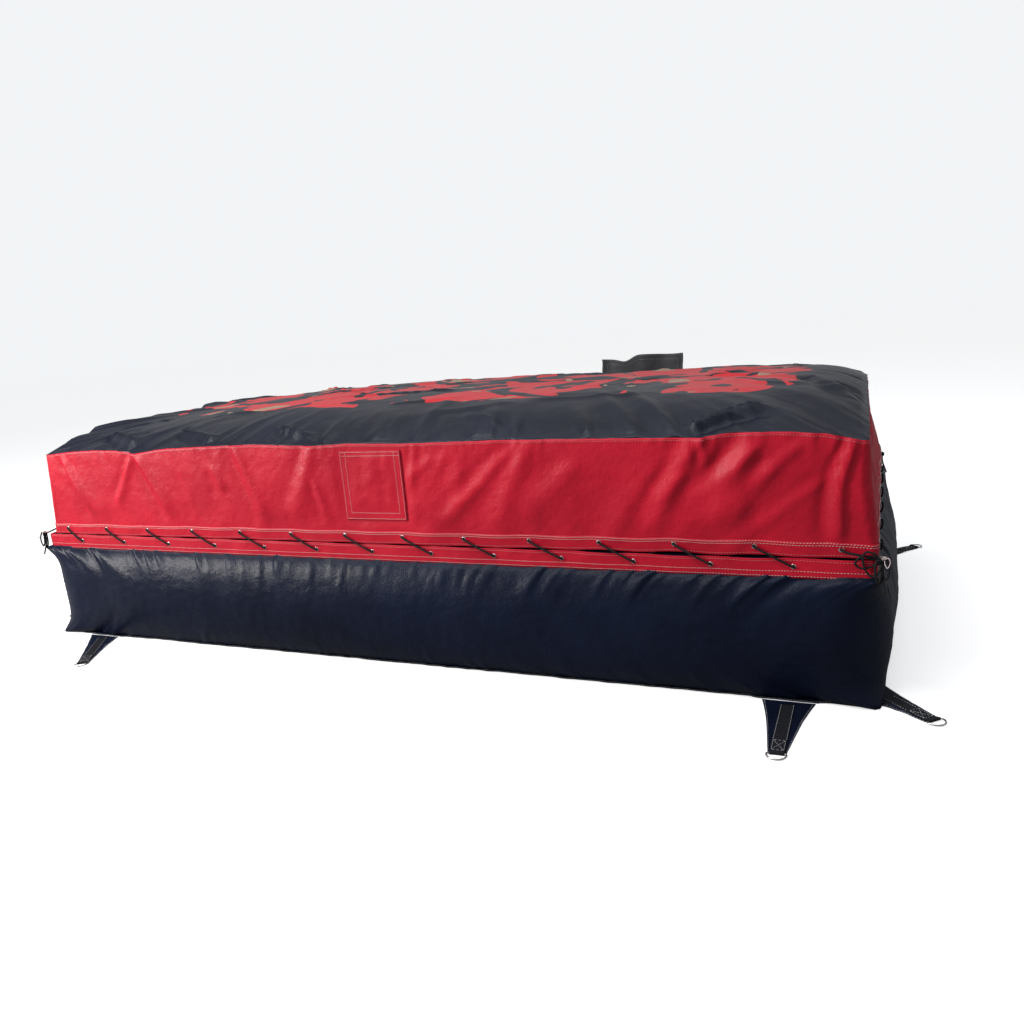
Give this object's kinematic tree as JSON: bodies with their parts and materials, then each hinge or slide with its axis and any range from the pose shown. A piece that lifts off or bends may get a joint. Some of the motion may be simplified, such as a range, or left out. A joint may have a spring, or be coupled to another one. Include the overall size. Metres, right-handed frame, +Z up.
{
  "type": "air landing mat",
  "caption": "Two-tier inflatable landing mat: a bulging air base with a laced-on cover over a crowned landing cushion, ground anchor tabs and vent flaps.",
  "frame": {"origin": "bottom centre of the mat, on the ground", "axes": "+X along the mat's length, -Y out of the front with the square vent flap, +Z up"},
  "size_m": [4.451, 2.9166, 1.1605],
  "materials": {
    "black_coated_cloth": "black vinyl-coated cloth, semi-gloss",
    "printed_top_cloth": "black vinyl-coated cloth with an abstract red print",
    "red_coated_cloth": "red vinyl-coated cloth, semi-gloss",
    "plated_steel": "nickel-plated",
    "braided_cord": "black braided polyester",
    "mesh_cloth": "black open mesh",
    "touch_tape": "black hook-and-loop",
    "webbing": "black woven polyester"
  },
  "bodies": {
    "mat": {"band_eyelets": "plated_steel", "base_bottom_panel": "black_coated_cloth", "base_top_panel": "black_coated_cloth", "base_wall_back": "black_coated_cloth", "base_wall_front": "black_coated_cloth", "base_wall_left": "black_coated_cloth", "base_wall_right": "black_coated_cloth", "base_webs": "black_coated_cloth", "blower_sleeve": "black_coated_cloth", "cord_tail_back": "braided_cord", "cord_tail_front": "braided_cord", "cord_tail_left": "braided_cord", "cord_tail_right": "braided_cord", "corner_knots": "braided_cord", "cover_skirt_back": "red_coated_cloth", "cover_skirt_front": "red_coated_cloth", "cover_skirt_left": "red_coated_cloth", "cover_skirt_right": "red_coated_cloth", "cover_top_panel": "printed_top_cloth", "cushion_top_panel": "black_coated_cloth", "cushion_tub": "black_coated_cloth", "cushion_webs": "black_coated_cloth", "front_vent_screen": "mesh_cloth", "hem_eyelets": "plated_steel", "lacing_band": "red_coated_cloth", "lacing_cord_back": "braided_cord", "lacing_cord_front": "braided_cord", "lacing_cord_left": "braided_cord", "lacing_cord_right": "braided_cord", "rear_vent_screen": "mesh_cloth", "skirt_hem": "red_coated_cloth", "sleeve_strap": "webbing", "vent_loop_tape": "touch_tape"},
    "vent_flap": {"vent_flap": "red_coated_cloth", "vent_hook_tape": "touch_tape"},
    "rear_flap": {"rear_flap": "black_coated_cloth"},
    "tab_front_right": {"anchor_tab_front_right": "black_coated_cloth", "anchor_strap_front_right": "webbing"},
    "ring_front_right": {"anchor_ring_front_right": "plated_steel"},
    "tab_front_left": {"anchor_tab_front_left": "black_coated_cloth", "anchor_strap_front_left": "webbing"},
    "ring_front_left": {"anchor_ring_front_left": "plated_steel"},
    "tab_right_front": {"anchor_tab_right_front": "black_coated_cloth", "anchor_strap_right_front": "webbing"},
    "ring_right_front": {"anchor_ring_right_front": "plated_steel"},
    "tab_right_back": {"anchor_tab_right_back": "black_coated_cloth", "anchor_strap_right_back": "webbing"},
    "ring_right_back": {"anchor_ring_right_back": "plated_steel"},
    "tab_back_right": {"anchor_tab_back_right": "black_coated_cloth", "anchor_strap_back_right": "webbing"},
    "ring_back_right": {"anchor_ring_back_right": "plated_steel"},
    "tab_back_left": {"anchor_tab_back_left": "black_coated_cloth", "anchor_strap_back_left": "webbing"},
    "ring_back_left": {"anchor_ring_back_left": "plated_steel"},
    "tab_left_back": {"anchor_tab_left_back": "black_coated_cloth", "anchor_strap_left_back": "webbing"},
    "ring_left_back": {"anchor_ring_left_back": "plated_steel"},
    "tab_left_front": {"anchor_tab_left_front": "black_coated_cloth", "anchor_strap_left_front": "webbing"},
    "ring_left_front": {"anchor_ring_left_front": "plated_steel"}
  },
  "joints": [
    {"name": "vent_flap_hinge", "type": "hinge", "parent": "mat", "child": "vent_flap", "pos_m": [0.03, -1.0054, 0.955], "axis": [-1, 0, 0], "range_deg": [0, 150]},
    {"name": "rear_flap_hinge", "type": "hinge", "parent": "mat", "child": "rear_flap", "pos_m": [0.695, 1.0056, 0.9605], "axis": [-1, 0, 0], "range_deg": [-25, 178]},
    {"name": "tab_front_right_hinge", "type": "hinge", "parent": "mat", "child": "tab_front_right", "pos_m": [1.71, -1.0223, 0.0025], "axis": [-1, 0, 0], "range_deg": [0, 70]},
    {"name": "ring_front_right_hinge", "type": "hinge", "parent": "tab_front_right", "child": "ring_front_right", "pos_m": [1.71, -1.4163, 0.0055], "axis": [-1, 0, 0], "range_deg": [0, 150]},
    {"name": "tab_front_left_hinge", "type": "hinge", "parent": "mat", "child": "tab_front_left", "pos_m": [-1.72, -1.0223, 0.0025], "axis": [-1, 0, 0], "range_deg": [0, 70]},
    {"name": "ring_front_left_hinge", "type": "hinge", "parent": "tab_front_left", "child": "ring_front_left", "pos_m": [-1.50559, -1.34698, 0.0055], "axis": [-0.8345, -0.5511, 0], "range_deg": [0, 150]},
    {"name": "tab_right_front_hinge", "type": "hinge", "parent": "mat", "child": "tab_right_front", "pos_m": [2.0223, -0.89, 0.0025], "axis": [0, -1, 0], "range_deg": [0, 50]},
    {"name": "ring_right_front_hinge", "type": "hinge", "parent": "tab_right_front", "child": "ring_right_front", "pos_m": [2.18575, -1.06586, 0.0055], "axis": [-0.7325, -0.6808, 0], "range_deg": [0, 150]},
    {"name": "tab_right_back_hinge", "type": "hinge", "parent": "mat", "child": "tab_right_back", "pos_m": [2.0223, 0.89, 0.0025], "axis": [0, -1, 0], "range_deg": [0, 50]},
    {"name": "ring_right_back_hinge", "type": "hinge", "parent": "tab_right_back", "child": "ring_right_back", "pos_m": [2.18575, 1.06586, 0.0055], "axis": [0.7325, -0.6808, 0], "range_deg": [0, 150]},
    {"name": "tab_back_right_hinge", "type": "hinge", "parent": "mat", "child": "tab_back_right", "pos_m": [1.71, 1.0223, 0.0025], "axis": [1, 0, 0], "range_deg": [0, 70]},
    {"name": "ring_back_right_hinge", "type": "hinge", "parent": "tab_back_right", "child": "ring_back_right", "pos_m": [1.71, 1.4163, 0.0055], "axis": [1, 0, 0], "range_deg": [0, 150]},
    {"name": "tab_back_left_hinge", "type": "hinge", "parent": "mat", "child": "tab_back_left", "pos_m": [-1.72, 1.0223, 0.0025], "axis": [1, 0, 0], "range_deg": [0, 70]},
    {"name": "ring_back_left_hinge", "type": "hinge", "parent": "tab_back_left", "child": "ring_back_left", "pos_m": [-1.50559, 1.34698, 0.0055], "axis": [0.8345, -0.5511, 0], "range_deg": [0, 150]},
    {"name": "tab_left_back_hinge", "type": "hinge", "parent": "mat", "child": "tab_left_back", "pos_m": [-2.0223, 0.89, 0.0025], "axis": [0, 1, 0], "range_deg": [0, 50]},
    {"name": "ring_left_back_hinge", "type": "hinge", "parent": "tab_left_back", "child": "ring_left_back", "pos_m": [-2.18575, 1.06586, 0.0055], "axis": [0.7325, 0.6808, 0], "range_deg": [0, 150]},
    {"name": "tab_left_front_hinge", "type": "hinge", "parent": "mat", "child": "tab_left_front", "pos_m": [-2.0223, -0.62, 0.0025], "axis": [0, 1, 0], "range_deg": [0, 50]},
    {"name": "ring_left_front_hinge", "type": "hinge", "parent": "tab_left_front", "child": "ring_left_front", "pos_m": [-2.18575, -0.79586, 0.0055], "axis": [-0.7325, 0.6808, 0], "range_deg": [0, 150]}
  ]
}
